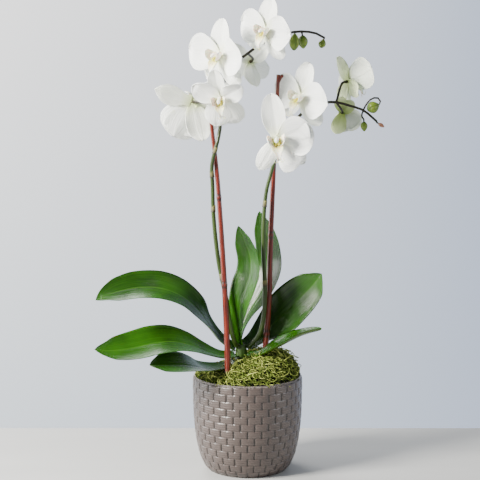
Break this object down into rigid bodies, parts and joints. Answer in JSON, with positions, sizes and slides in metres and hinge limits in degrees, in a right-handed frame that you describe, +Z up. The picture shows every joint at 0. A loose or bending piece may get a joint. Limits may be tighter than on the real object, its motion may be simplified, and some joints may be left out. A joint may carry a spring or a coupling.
{
  "type": "potted orchid",
  "caption": "Potted moth orchid with two arching white flower spikes tied to canes, strap leaves, moss top and a woven-look ceramic pot.",
  "frame": {"origin": "centre of the pot's flat underside", "axes": "+Z up; +X towards the side that the budded spike tips lean to; -Y towards the side that most flowers face"},
  "size_m": [0.3605, 0.1607, 0.5993],
  "materials": {
    "pot_glaze": "matte-satin taupe glaze over a woven relief",
    "liner_plastic": "thin black nursery plastic",
    "bark": "chipped bark mix",
    "moss": "dry curly sheet moss",
    "cane": "red-brown lacquered bamboo",
    "stem": "dark green stem skin",
    "leaf": "glossy fleshy leaf",
    "petal": "waxy white petal",
    "lip": "cream and yellow lip with brown spots",
    "bud": "satin green bud skin"
  },
  "bodies": {
    "root": {"pot": "pot_glaze", "nursery_liner": "liner_plastic", "bark_mix": "bark", "moss_top": "moss", "stake_left": "cane", "stake_right": "cane", "crown_stem": "stem", "leaf_1": "leaf", "leaf_2": "leaf", "leaf_3": "leaf", "leaf_4": "leaf", "leaf_5": "leaf", "leaf_6": "leaf", "leaf_7": "leaf", "flower_spike_left": "stem", "flower_spike_right": "stem", "flower_1_sepals": "petal", "flower_1_petals": "petal", "flower_1_lip": "lip", "flower_2_sepals": "petal", "flower_2_petals": "petal", "flower_2_lip": "lip", "flower_3_sepals": "petal", "flower_3_petals": "petal", "flower_3_lip": "lip", "flower_4_sepals": "petal", "flower_4_petals": "petal", "flower_4_lip": "lip", "flower_5_sepals": "petal", "flower_5_petals": "petal", "flower_5_lip": "lip", "flower_6_sepals": "petal", "flower_6_petals": "petal", "flower_6_lip": "lip", "flower_7_sepals": "petal", "flower_7_petals": "petal", "flower_7_lip": "lip", "flower_8_sepals": "petal", "flower_8_petals": "petal", "flower_8_lip": "lip", "flower_9_sepals": "petal", "flower_9_petals": "petal", "flower_9_lip": "lip", "bud_1": "bud", "bud_2": "bud", "bud_3": "bud", "bud_4": "bud", "bud_5": "bud", "bud_6": "bud"}
  },
  "joints": []
}
